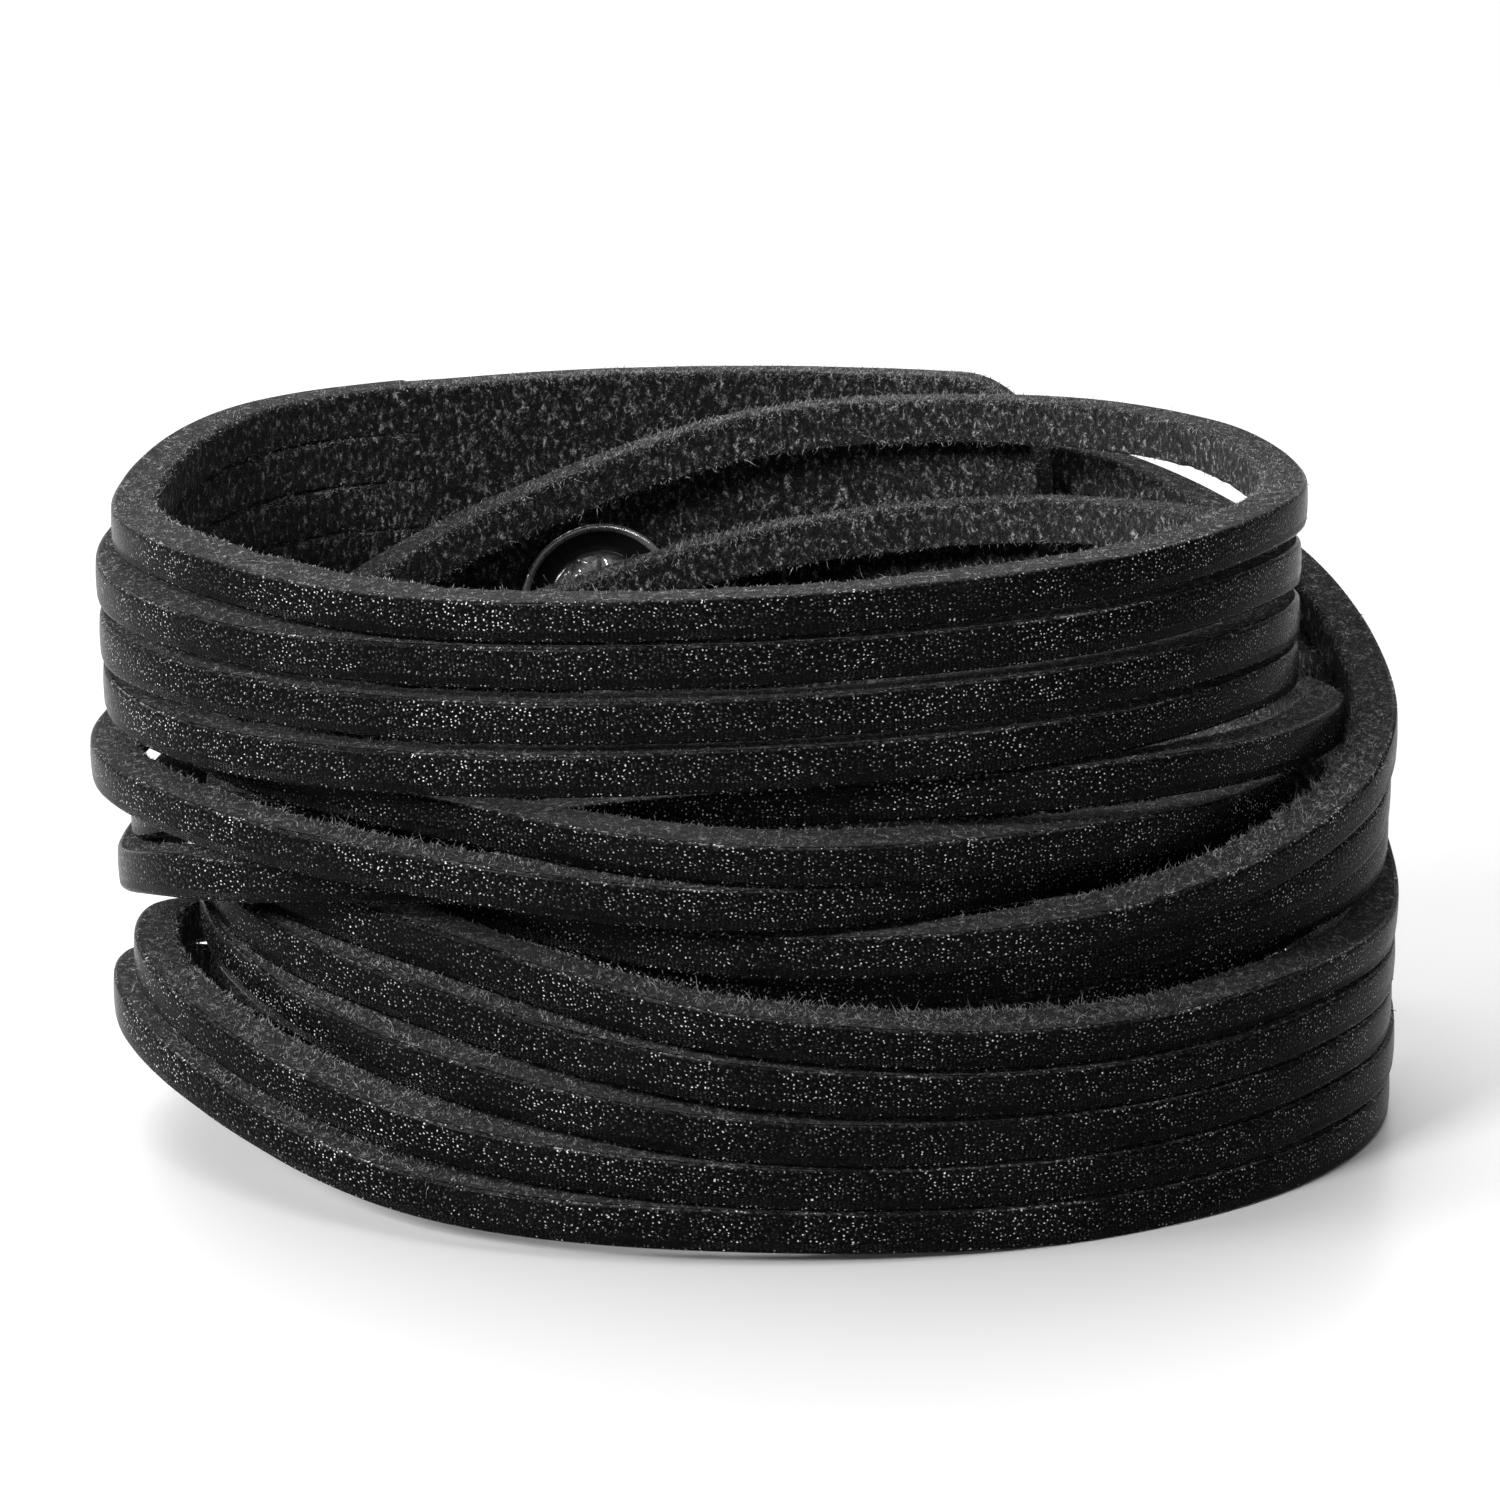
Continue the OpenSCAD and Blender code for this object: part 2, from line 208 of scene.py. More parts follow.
def strand_frame(k, az):
    """Middle of the section, and its outward and upward directions, at each azimuth."""
    lean = np.radians(local_sum(LEANS, k, az))[:, None]
    n = loop_normal(az)
    out = n * np.cos(lean) - UP * np.sin(lean)
    up = n * np.sin(lean) + UP * np.cos(lean)
    return loop_at(az, reach_at(k, az) - HALF_T, height_at(k, az)), out, up


def inner_tab_reach(az):
    """Strand 2's reach, which stays as it is beyond the first station."""
    return along(REACHES[1], np.maximum(az, FIRST_STATION))


def outer_tab_reach(az):
    return OUTER_TAB_REACH + 0 * az


def tab_half_height():
    return (HEIGHTS[0][0] - HEIGHTS[-1][0] + width_at(INNER_TAB_CUT_AZ)) / 2


# Noise: large odd factors that mix a cell's place and a seed, and a shift that keeps the places positive.
CELL_FACTORS = (374761393, 668265263, 2147483647)
SEED_FACTOR = 974634777
MIX_FACTOR = 1274126177
NOISE_SHIFT = 4096


def lattice(cell, seed):
    """A number from 0 to 1 for each whole cell, the same on every run."""
    fx, fy, fz = CELL_FACTORS
    h = cell[..., 0] * fx + cell[..., 1] * fy + cell[..., 2] * fz + seed * SEED_FACTOR
    h = (h ^ (h >> 13)) & 0xFFFFFFFF
    h = (h * MIX_FACTOR) & 0xFFFFFFFF
    return ((h ^ (h >> 16)) & 0xFFFFFF) / 0xFFFFFF


def noise(points, size, seed):
    """Smooth noise from -1 to 1, its lumps of the given size."""
    p = np.asarray(points) / size + NOISE_SHIFT
    base = np.floor(p).astype(np.int64)
    f = smooth(p - base)
    total = 0
    for corner in np.ndindex(2, 2, 2):
        share = np.where(corner, f, 1 - f)
        total = total + share[..., 0] * share[..., 1] * share[..., 2] * lattice(base + np.array(corner), seed)
    return total * 2 - 1


# Parts of a section of the cut leather. Its points run round it from the grain face to the outer top corner,
# the top edge, and so on. The rim is the line of that corner where a highlight is painted into the colour.
FACE, CORNER, EDGE, LIP, INSIDE, RIM = range(6)
OUTER_ROUND, INNER_ROUND = 0.24, 0.2
CORNER_STEPS, LIP_STEPS = 3, 2
TOP_EDGE_STEPS, LOWER_EDGE_STEPS = 6, 3
RIM_STEP = 2


def section_outline(face_steps):
    """A row for each point of a cut strap's section: out, up, its normal the same way, and its part."""
    t, w, ro, ri = HALF_T, HALF_W, OUTER_ROUND, INNER_ROUND
    rows = []

    def line(p, q, steps, normal, part):
        for s in range(1, steps):
            f = s / steps
            rows.append((p[0] + (q[0] - p[0]) * f, p[1] + (q[1] - p[1]) * f, *normal, part))

    def arc(out, up, r, start, steps, part):
        for s in range(steps + 1):
            a = math.radians(start + 90 * s / steps)
            x, y = math.cos(a), math.sin(a)
            at_rim = part == CORNER and start == 0 and s == RIM_STEP
            rows.append((out + r * x, up + r * y, x, y, RIM if at_rim else part))

    line((t, -w + ro), (t, w - ro), face_steps, (1, 0), FACE)
    arc(t - ro, w - ro, ro, 0, CORNER_STEPS, CORNER)
    line((t - ro, w), (-t + ri, w), TOP_EDGE_STEPS, (0, 1), EDGE)
    arc(-t + ri, w - ri, ri, 90, LIP_STEPS, LIP)
    line((-t, w - ri), (-t, -w + ri), face_steps, (-1, 0), INSIDE)
    arc(-t + ri, -w + ri, ri, 180, LIP_STEPS, LIP)
    line((-t + ri, -w), (t - ro, -w), LOWER_EDGE_STEPS, (0, -1), EDGE)
    arc(t - ro, -w + ro, ro, 270, CORNER_STEPS, CORNER)
    return np.array(rows)


def sweep(mid, out, up, outline):
    """Places an outline at each point of a route: the points and their normals, ring by ring."""
    o, u, no, nu = outline[:, :4].T
    points = mid[:, None] + out[:, None] * o[None, :, None] + up[:, None] * u[None, :, None]
    normals = out[:, None] * no[None, :, None] + up[:, None] * nu[None, :, None]
    return points, normals


def to_height(half, u, even):
    """How far up or down each section point moves to bring the section to a half height, ring by ring.

    Points farther than even from the middle all move alike, so the corners keep their shape.
    """
    return (half - HALF_W)[:, None] * (np.sign(u) * np.minimum(np.abs(u) / even, 1))[None, :]


# The leather's own unevenness for each part of the section, fine and broad.
FINE_ROUGHNESS = np.array([0.004, 0.006, 0.045, 0.11, 0.06, 0.006])
BROAD_ROUGHNESS = np.array([0.02, 0.015, 0.03, 0.05, 0.05, 0.015])
LUMP, SMALL_LUMP, BROAD_LUMP = 0.5, 0.24, 2.6


def roughen(points, normals, part):
    """The grain side stays soft, the cut edges get rough and the lips of the suede side ragged."""
    fine = noise(points, LUMP, 1) * 0.6 + noise(points, SMALL_LUMP, 2) * 0.4
    broad = noise(points, BROAD_LUMP, 3)
    return points + normals * (fine * FINE_ROUGHNESS[part] + broad * BROAD_ROUGHNESS[part])[..., None]


# Meshes
GRAIN, SUEDE, FIBRE = range(3)
# The third strap coordinate for each part of the section: 1 on the suede side, -1 along the rim's painted
# highlight.
SHADES = np.array([0.0, 0.0, 0.0, 1.0, 1.0, -1.0])


def strap_coordinates(run, across, part):
    """Along the strap, across it, and the shade."""
    return np.stack(np.broadcast_arrays(run[:, None], across, SHADES[part][None, :]), -1)


def tube_faces(rings, around):
    """Faces of a closed tube of rings, as arrays: its sides, then a cap at each end."""
    i, j = np.meshgrid(np.arange(rings - 1), np.arange(around), indexing="ij")
    k = (j + 1) % around
    quads = np.stack([(i + 1) * around + j, (i + 1) * around + k, i * around + k, i * around + j], -1)
    caps = np.stack([np.arange(around), np.arange(rings * around - 1, (rings - 1) * around - 1, -1)])
    return [quads.reshape(-1, 4), caps]


def facing_out(points, groups):
    """The faces, turned over where they all look inward."""
    sides = points.reshape(-1, 3)[groups[0]]
    volume = np.einsum("ij,ij->", sides[:, 0], np.cross(sides[:, 1], sides[:, 2]))
    volume += np.einsum("ij,ij->", sides[:, 0], np.cross(sides[:, 2], sides[:, 3]))
    return groups if volume > 0 else [g[:, ::-1] for g in groups]


class Solid:
    """Gathers the points and faces of one piece."""

    def __init__(self):
        self.points, self.groups, self.slots, self.coords, self.count = [], [], [], [], 0

    def add(self, points, groups, slots, coords):
        """Groups are arrays of faces, a row each. Slots give each group a material, or each face its own."""
        self.points.append(points.reshape(-1, 3))
        self.groups += [g + self.count for g in groups]
        self.slots += [np.broadcast_to(slot, len(g)) for slot, g in zip(slots, groups)]
        self.coords.append(coords.reshape(-1, 3))
        self.count += len(self.points[-1])

    def build(self, name, materials):
        indices = np.concatenate([g.ravel() for g in self.groups]).astype(np.int32)
        sizes = np.concatenate([np.full(len(g), g.shape[1]) for g in self.groups])
        mesh = bpy.data.meshes.new(name)
        mesh.vertices.add(self.count)
        mesh.vertices.foreach_set("co", (np.vstack(self.points) * MM).astype(np.float32).ravel())
        mesh.loops.add(len(indices))
        mesh.loops.foreach_set("vertex_index", indices)
        mesh.polygons.add(len(sizes))
        mesh.polygons.foreach_set("loop_start", (np.cumsum(sizes) - sizes).astype(np.int32))
        for m in materials:
            mesh.materials.append(m)
        mesh.polygons.foreach_set("material_index", np.concatenate(self.slots).astype(np.int32))
        mesh.polygons.foreach_set("use_smooth", np.ones(len(sizes), dtype=bool))
        mesh.update(calc_edges=True)
        strap = mesh.attributes.new("strap", "FLOAT_VECTOR", "POINT")
        strap.data.foreach_set("vector", np.vstack(self.coords).astype(np.float32).ravel())
        return link_object(name, mesh)


def link_object(name, data):
    obj = bpy.data.objects.new(name, data)
    bpy.context.scene.collection.objects.link(obj)
    return obj


def leather_solid(points, part, coords):
    """A swept strip of leather: grain between two points of the grain side, suede elsewhere."""
    rings, around = points.shape[:2]
    grained = (part == FACE) | (part == CORNER) | (part == RIM)
    sides = np.where(grained & np.roll(grained, -1), GRAIN, SUEDE)
    faces = facing_out(points, tube_faces(rings, around))
    solid = Solid()
    solid.add(points, faces, [np.tile(sides, rings - 1), SUEDE], coords)
    return solid


# Fibres: share of all, least and typical length, longest, least and most radius, bends, and how the four
# parts of a section from its corner inward share them.
FIBRES = [
    (0.78, 0.06, 0.12, 0.24, 0.018, 0.034, 1, (0.05, 1.5, 2.4, 0.10)),
    (0.18, 0.10, 0.22, 0.45, 0.014, 0.024, 2, (0.03, 1.1, 3.4, 0.10)),
    (0.04, 0.20, 0.38, 0.80, 0.010, 0.017, 3, (0.00, 0.7, 3.8, 0.10)),
]
STRAND_HAIRS, INNER_TAB_HAIRS, OUTER_TAB_HAIRS = 11000, 4500, 2500
# How thickly they grow on the lower half, against 1 on the upper, and how many rings at each end stay bare.
LOWER_SHARE = 0.35
BARE_RINGS = 2
# How far they scatter from the section's points.
SCATTER_ALONG, SCATTER_ACROSS = 0.3, 0.12
# How their lengths are distributed, and how wool lengthens them.
LENGTH_SHAPE = 2.0
MOST_WOOL, WOOL_POWER = 2.4, 0.8
# A hair is a tube of so many sides. As shares of its length: where its first ring lies, under the skin, what
# its rings divide from there, and how its radius tapers.
HAIR_SIDES = 3
HAIR_ROOT, HAIR_SPAN, HAIR_TAPER = -0.08, 0.95, 0.5
# How far a hair leans to each side, how much it curls, and the most of that away from the leather.
HAIR_LEAN, HAIR_CURL, HAIR_LIFT = 0.7, 0.6, 0.2
# Keeps the direction that a hair's rings are built from out of line with the hair.
HAIR_SKEW = 0.37


def tufts(solid, base, normal, tangent, length, radius, rng, bends, curl=HAIR_CURL):
    """Loose fibres: thin curved hairs, each a closed tube with a ring for each bend and a pointed tip."""
    m = len(base)
    side = np.cross(normal, tangent)
    first = unit(normal + tangent * rng.uniform(-HAIR_LEAN, HAIR_LEAN, (m, 1))
                 + side * rng.uniform(-HAIR_LEAN, HAIR_LEAN, (m, 1)))
    bend = (tangent * rng.uniform(-1, 1, (m, 1)) + side * rng.uniform(-1, 1, (m, 1))
            + normal * rng.uniform(-1, HAIR_LIFT, (m, 1)))
    bend *= curl / np.maximum(np.linalg.norm(bend, axis=1, keepdims=True), 1e-6)
    x = unit(np.cross(first, tangent + side * HAIR_SKEW))
    y = np.cross(first, x)
    points = []
    for ring in range(bends):
        s = HAIR_ROOT + HAIR_SPAN * ring / bends
        mid = base + (first * s + bend * s * s) * length[:, None]
        for c in range(HAIR_SIDES):
            t = 2 * math.pi * c / HAIR_SIDES
            ray = x * math.cos(t) + y * math.sin(t)
            points.append(mid + ray * (radius * (1 - HAIR_TAPER * s))[:, None])
    points.append(base + (first + bend) * length[:, None])
    tip = HAIR_SIDES * bends
    turns = [(c, (c + 1) % HAIR_SIDES) for c in range(HAIR_SIDES)]
    sides = [(r + c, r + d, r + HAIR_SIDES + d, r + HAIR_SIDES + c)
             for r in range(0, tip - HAIR_SIDES, HAIR_SIDES) for c, d in turns]
    ends = [(2, 1, 0)] + [(tip - HAIR_SIDES + c, tip - HAIR_SIDES + d, tip) for c, d in turns]
    starts = np.arange(m)[:, None] * (tip + 1)
    groups = [(starts[:, None] + np.array(f)[None]).reshape(-1, len(f[0])) for f in (sides, ends) if f]
    solid.add(np.stack(points, 1), groups, [FIBRE] * len(groups), np.repeat(base[:, None], tip + 1, 1))


def grow_fibres(solid, points, normals, mid, part, hairs, rng, wool):
    """Wool tells, for each ring, how much denser and longer its fibres are than usual."""
    rings, around = points.shape[:2]
    inner_wool = wool[BARE_RINGS:-BARE_RINGS]
    chance = inner_wool / inner_wool.sum()
    upper = (points[0] - mid[0])[:, 2] > 0
    tangent = unit(np.gradient(mid, axis=0))
    for share, least, typical, most, thin, thick, bends, sharing in FIBRES:
        m = int(hairs * share)
        weight = np.array((0.0, *sharing, 0.0))[part] * np.where(upper, 1.0, LOWER_SHARE)
        i = BARE_RINGS + rng.choice(rings - 2 * BARE_RINGS, m, p=chance)
        j = rng.choice(around, m, p=weight / weight.sum())
        n = normals[i, j]
        base = points[i, j] + tangent[i] * rng.uniform(-SCATTER_ALONG, SCATTER_ALONG, (m, 1))
        base = base + np.cross(n, tangent[i]) * rng.uniform(-SCATTER_ACROSS, SCATTER_ACROSS, (m, 1))
        length = (least + rng.gamma(LENGTH_SHAPE, (typical - least) / LENGTH_SHAPE, m)).clip(least, most)
        length = length * np.minimum(wool[i], MOST_WOOL) ** WOOL_POWER
        tufts(solid, base, n, tangent[i], length, rng.uniform(thin, thick, m), rng, bends)


# Strands
STRAND_SEED = 100
RING_STEP = 0.6
END_STEP = 0.03
STRAND_FACE_STEPS = 5
STRAND_EVEN = 0.8
INTO_TAB_AZ = 0.05
# The knife's line: how much narrower than the solid, how far it wanders, over what length, and its noise.
CUT_BACK, CUT_WANDER, WANDER_LENGTH, WANDER_SEED = 0.015, 0.02, 9.0, 40
# How much a strand's half height grows towards the inner tab.
ROOT_SWELL = 0.1
# How far the middle of the face stands out, and how far from it the face is back to flat.
CROWN, CROWN_HALF_W = 0.035, 0.85
# Each strand reads another stretch of the grain.
GRAIN_SHIFT = 41.3


def make_strand(k, materials, hairs):
    """One strand, twice round, from the inner tab's cut end to the outer tab's."""
    rng = np.random.default_rng(STRAND_SEED + k)
    from_az, to_az = INNER_TAB_CUT_AZ - INTO_TAB_AZ, 720 + OUTER_TAB_CUT_AZ + INTO_TAB_AZ
    length = math.radians(to_az - from_az) * (LOOP_HALF_WIDTH + LOOP_HALF_DEPTH) / 2
    rings = int(length / RING_STEP)
    az = np.concatenate([[from_az], np.linspace(from_az + END_STEP, to_az - END_STEP, rings - 2), [to_az]])
    mid, out, up = strand_frame(k, az)
    run = distance_along(mid)
    wander = noise(np.stack([run, 0 * run, 0 * run], -1), WANDER_LENGTH, WANDER_SEED + k)
    half = width_at(az) / 2 - CUT_BACK + CUT_WANDER * wander
    half = half + ROOT_SWELL * near_cut((az - INNER_TAB_CUT_AZ) / 2 + INNER_TAB_CUT_AZ)
    lift = local_sum(FULLER, k, az) / 2
    half, mid = half + lift, mid + up * lift[:, None]
    outline = section_outline(STRAND_FACE_STEPS)
    u, part = outline[:, 1], outline[:, 4].astype(int)
    points, normals = sweep(mid, out, up, outline)
    points = points + up[:, None] * to_height(half, u, STRAND_EVEN)[..., None]
    crown = np.where(part == FACE, CROWN * (1 - (u / CROWN_HALF_W) ** 2), 0)
    points = points + normals * (crown[None, :] * (1 - near_cut(az))[:, None])[..., None]
    points = roughen(points, normals, part)
    girth = distance_along(outline[:, :2])
    solid = leather_solid(points, part, strap_coordinates(run + GRAIN_SHIFT * k, girth[None, :], part))
    grow_fibres(solid, points, normals, mid, part, hairs, rng, 1 + local_sum(WOOLLY, k, az))
    return solid.build("leather_strand_%d" % k, materials)


# Stray hairs of the inner tab: on its inside, as azimuth, height and length, and on its top edge, as azimuth
# and length. Each is rooted at a share of the leather's thickness below the outer face.
INSIDE_STRAYS = [
    (114.2, 22.3, 1.9), (113.0, 22.6, 1.3), (110.6, 22.2, 1.5), (109.8, 21.8, 1.1), (105.4, 25.2, 1.2),
    (104.4, 24.8, 0.9),
]
TOP_STRAYS = [(121.0, 0.9), (114.0, 0.7), (105.8, 1.1), (100.0, 0.8), (94.8, 1.0), (126.0, 1.0)]
INSIDE_STRAY_DEPTH, TOP_STRAY_DEPTH = 0.97, 0.6
TOP_STRAY_SUNK = 0.05
STRAY_R, STRAY_CURL, STRAY_BENDS = 0.019, 1.1, 7


def grow_stray(solid, rng, az, z, length, upright):
    here = np.array([az])
    up, outward = UP[None, :], loop_normal(here)
    depth = LEATHER_T * (TOP_STRAY_DEPTH if upright else INSIDE_STRAY_DEPTH)
    base = loop_at(here, inner_tab_reach(here) - depth, z)
    tufts(solid, base, up if upright else -outward, np.cross(up, outward), np.array([length]),
          np.array([STRAY_R]), rng, STRAY_BENDS, curl=STRAY_CURL)


def grow_strays(solid, rng):
    for az, z, length in INSIDE_STRAYS:
        grow_stray(solid, rng, az, z, length, False)
    for az, length in TOP_STRAYS:
        grow_stray(solid, rng, az, INNER_TAB_Z + tab_half_height() - TOP_STRAY_SUNK, length, True)


# Seats of the snap in the tabs: levels are millimetres outside the loop along the snap's axis.
SNAP_AT = loop_at(np.array([SNAP_AZ]), 0.0, SNAP_Z)[0]
SNAP_OUT = loop_normal(np.array([SNAP_AZ]))[0]
EYELET_BACK = INNER_TAB_REACH - LEATHER_T + SEAT - CLEAR
CAP_BASE = OUTER_TAB_REACH - 2 * SEAT + CLEAR
SOCKET_TOP = OUTER_TAB_REACH - LEATHER_T + SEAT / 2 - CLEAR
SEAT_CLEAR = 0.05
# How far outside the part's radius a seat's slope reaches, and how wide the slope is.
SEAT_BORDER, SEAT_SLOPE = 0.75, 0.45
# Flat seats pressed into the curved tabs: which tab, which side of it, radius, and the seat's level.
SEATS = [("leather_inner_tab", INSIDE, EYELET_R, EYELET_BACK + SEAT_CLEAR),
         ("leather_outer_tab", FACE, CAP_R, CAP_BASE - SEAT_CLEAR),
         ("leather_outer_tab", INSIDE, SOCKET_R, SOCKET_TOP + SEAT_CLEAR)]


def press_seats(name, points, part):
    away = points - SNAP_AT
    level = away @ SNAP_OUT
    distance = np.linalg.norm(away - level[..., None] * SNAP_OUT, axis=-1)
    for tab, side, radius, seat in SEATS:
        if tab == name:
            short = np.maximum(seat - level, 0) if side == INSIDE else np.minimum(seat - level, 0)
            within = smooth(np.clip((radius + SEAT_BORDER - distance) / SEAT_SLOPE, 0, 1))
            points = points + np.where(part == side, within * short, 0)[..., None] * SNAP_OUT
    return points


# Tabs
TAB_SEED = 527
TAB_RINGS = 110
TAB_CROWDING = 1.35
TAB_FACE_STEPS = 52
TAB_EVEN = 0.84
# How far both faces draw in at the rounded end's last rings, and how far from the middle a point does so.
EASED, EASED_FROM = (0.16, 0.05), 0.6


def corner_cut(distance, radius):
    """What a rounded corner takes off a tab's half height, at a distance from the tab's end."""
    short = radius - np.minimum(distance, radius)
    return np.where(distance < radius, radius - np.sqrt(np.maximum(radius * radius - short ** 2, 0)), 0)


def make_tab(name, cut_az, round_az, reach_of, z, rise, materials, hairs, strays=False):
    """A whole end of the strap, its far end rounded. Rise is height gained for each degree of azimuth."""
    rng = np.random.default_rng(TAB_SEED)
    mid_az = math.radians((cut_az + round_az) / 2)
    mm_per_radian = math.hypot(LOOP_HALF_WIDTH * math.sin(mid_az), LOOP_HALF_DEPTH * math.cos(mid_az))
    # the rings crowd towards the rounded end, and one more runs into the strands
    f = np.append(np.linspace(0, 1, TAB_RINGS - 1) ** TAB_CROWDING, 1 + END_STEP / abs(cut_az - round_az))
    az = round_az + (cut_az - round_az) * f
    half = tab_half_height() - corner_cut(np.radians(np.abs(az - round_az)) * mm_per_radian, TAB_CORNER_R)
    outline = section_outline(TAB_FACE_STEPS)
    o, u, part = outline[:, 0], outline[:, 1], outline[:, 4].astype(int)
    n = loop_normal(az)
    up = np.tile(UP, (TAB_RINGS, 1))
    mid = loop_at(az, reach_of(az) - HALF_T, z + (az - SNAP_AZ) * rise)
    points, normals = sweep(mid, n, up, outline)
    stretch = to_height(half, u, TAB_EVEN)
    points = points + up[:, None] * stretch[..., None]
    points = press_seats(name, roughen(points, normals, part), part)
    for ring, draw in enumerate(EASED):
        points[ring] -= n[ring] * (np.sign(o) * draw * (np.abs(o) > EASED_FROM))[:, None]
    solid = leather_solid(points, part, strap_coordinates(distance_along(mid), u[None, :] + stretch, part))
    grow_fibres(solid, points, normals, mid, part, hairs, rng, np.ones(TAB_RINGS))
    if strays:
        grow_strays(solid, rng)
    return solid.build(name, materials)


# Profiles of the snap's visible parts, from one end near the axis to the other: radius and level.
NEAR_AXIS, POST_R = 0.02, 1.15
EYELET_LIP = EYELET_BACK - PLATE_T
EYELET_POST = INNER_TAB_REACH + 0.39
CAP_POST = OUTER_TAB_REACH - LEATHER_T - 0.15
# The eyelet's front, with levels from its lip: the hole's edge, the rolled ring, the dish and the outer rim.
EYELET_FRONT = [
    (0.62, 0.02), (0.72, -0.06), (0.95, -0.12), (1.2, -0.1), (1.34, -0.14),
    (1.46, -0.28), (1.66, -0.4), (1.95, -0.45), (2.24, -0.4), (2.46, -0.27),
    (2.6, -0.08), (2.72, 0.06), (3.1, 0.1), (3.6, 0.07), (3.86, 0.02),
    (4.0, -0.05), (4.12, -0.06), (4.24, -0.01), (4.3, 0.1),
]
EYELET_PROFILE = [
    (NEAR_AXIS, EYELET_BACK - 0.05), (0.5, EYELET_BACK - 0.05), (0.56, EYELET_BACK - 0.08),
    *((radius, EYELET_LIP + level) for radius, level in EYELET_FRONT),
    (4.27, EYELET_BACK - 0.06), (4.16, EYELET_BACK), (3.9, EYELET_BACK), (POST_R, EYELET_BACK),
    (POST_R, EYELET_POST), (NEAR_AXIS, EYELET_POST),
]
# The cap, with levels from its base: its underside, the rolled edge, a groove and the dome.
CAP_DOME = [
    (POST_R, 0.0), (5.8, 0.0), (6.05, 0.03), (6.17, 0.12), (6.2, 0.25), (6.15, 0.38),
    (6.02, 0.46), (5.84, 0.47), (5.7, 0.43), (5.56, 0.45), (5.4, 0.55), (5.0, 0.8),
    (4.4, 1.07), (3.6, 1.31), (2.7, 1.48), (1.8, 1.58), (0.9, 1.63), (NEAR_AXIS, 1.65),
]
CAP_PROFILE = [
    (NEAR_AXIS, CAP_POST), (POST_R, CAP_POST),
    *((radius, CAP_BASE + level) for radius, level in CAP_DOME),
]
TURNED_SEGMENTS = 180
EYELET_STEP, CAP_STEP = 0.1, 1.0
# The eyelet's barrel is rolled over and has split: the first split's angle seen from inside, how many there
# are, their half width in degrees, their depth, and the radius and half width of the band that they cut.
FIRST_SPLIT, SPLITS, SPLIT_WIDTH, SPLIT_DEPTH = 88.0, 7, 8.0, 0.35
SPLIT_BAND_R, SPLIT_BAND = 2.0, 0.7
# A round pit in the roll: radius from the axis, angle, its own reach, depth, and how full its hollow is.
PIT_AT, PIT_ANGLE, PIT_REACH, PIT_DEPTH, PIT_POWER = 2.15, 122.0, 0.54, 0.7, 0.7
# Splits and pit cut the front only, up to this far behind the lip, and leave so much metal at the back.
FRONT_LIMIT, METAL_LEFT = 0.15, 0.08
# Where the enamel is worn: radius, how far from there to nothing, and how much. These are the roll and the
# outer rim of the eyelet, and the rolled edge of the cap.
EYELET_WEAR = [(1.95, 0.8, 1.0), (4.14, 0.2, 3.0)]
CAP_WEAR = [(5.95, 0.25, 0.5)]


def split_depth(radius, angle):
    """How far the barrel's roll falls away at its splits and its pit."""
    between = 360 / SPLITS
    off = (angle - FIRST_SPLIT + 180 / SPLITS) % between - 180 / SPLITS
    turn, pit = np.radians(angle), np.radians(PIT_ANGLE)
    away = np.hypot(radius * np.cos(turn) - PIT_AT * np.cos(pit),
                    radius * np.sin(turn) - PIT_AT * np.sin(pit))
    splits = SPLIT_DEPTH * hump(off, SPLIT_WIDTH) * hump(radius - SPLIT_BAND_R, SPLIT_BAND)
    return splits + PIT_DEPTH * hump(away, PIT_REACH) ** PIT_POWER


def split_front(radius, angle, level):
    """The eyelet's levels with its splits and its pit."""
    cut = np.minimum(level + split_depth(radius, angle), EYELET_BACK - METAL_LEFT)
    return np.where(level < EYELET_LIP + FRONT_LIMIT, cut, level)


def finer(profile, step):
    """The profile with more points, so that they lie about a step apart."""
    rows = [profile[:1]]
    for a, b in zip(profile[:-1], profile[1:]):
        count = max(1, int(np.linalg.norm(b - a) / step))
        rows.append(a + (b - a) * (np.arange(1, count + 1) / count)[:, None])
    return np.vstack(rows)


def make_turned(name, profile, step, wear_and_painted_highlights, material, cut=None):
    """A turned part on the snap's axis. Its strap coordinates are radius, angle and wear."""
    across = np.cross(SNAP_OUT, UP)
    radius, level = finer(np.array(profile), step).T
    angle = np.arange(TURNED_SEGMENTS) * 360 / TURNED_SEGMENTS
    r, a = np.broadcast_arrays(radius[:, None], angle[None, :])
    levels = np.broadcast_to(level[:, None], r.shape)
    if cut:
        levels = cut(r, a, levels)
    turn = np.radians(a)
    points = (SNAP_AT + SNAP_OUT * levels[..., None] + across * (r * np.cos(turn))[..., None]
              + UP * (r * np.sin(turn))[..., None])
    wear = sum(amount * hump(radius - at, span) for at, span, amount in wear_and_painted_highlights)
    coords = np.stack(np.broadcast_arrays(r, a, wear[:, None]), -1)
    solid = Solid()
    solid.add(points, facing_out(points, tube_faces(len(radius), TURNED_SEGMENTS)), [0, 0], coords)
    return solid.build(name, [material])


# Materials
def new_material(name):
    """A material with its node tree and its shader."""
    mat = bpy.data.materials.new(name)
    mat.use_nodes = True
    return mat, mat.node_tree, mat.node_tree.nodes["Principled BSDF"]


def feed(tree, target, inputs):
    """Sets a node's inputs, each to a value or to another node's output."""
    for key, value in inputs.items():
        if hasattr(value, "links"):
            tree.links.new(value, target.inputs[key])
        else:
            target.inputs[key].default_value = value


def node(tree, kind, inputs=None, **settings):
    made = tree.nodes.new(kind)
    for key, value in settings.items():
        setattr(made, key, value)
    feed(tree, made, inputs or {})
    return made


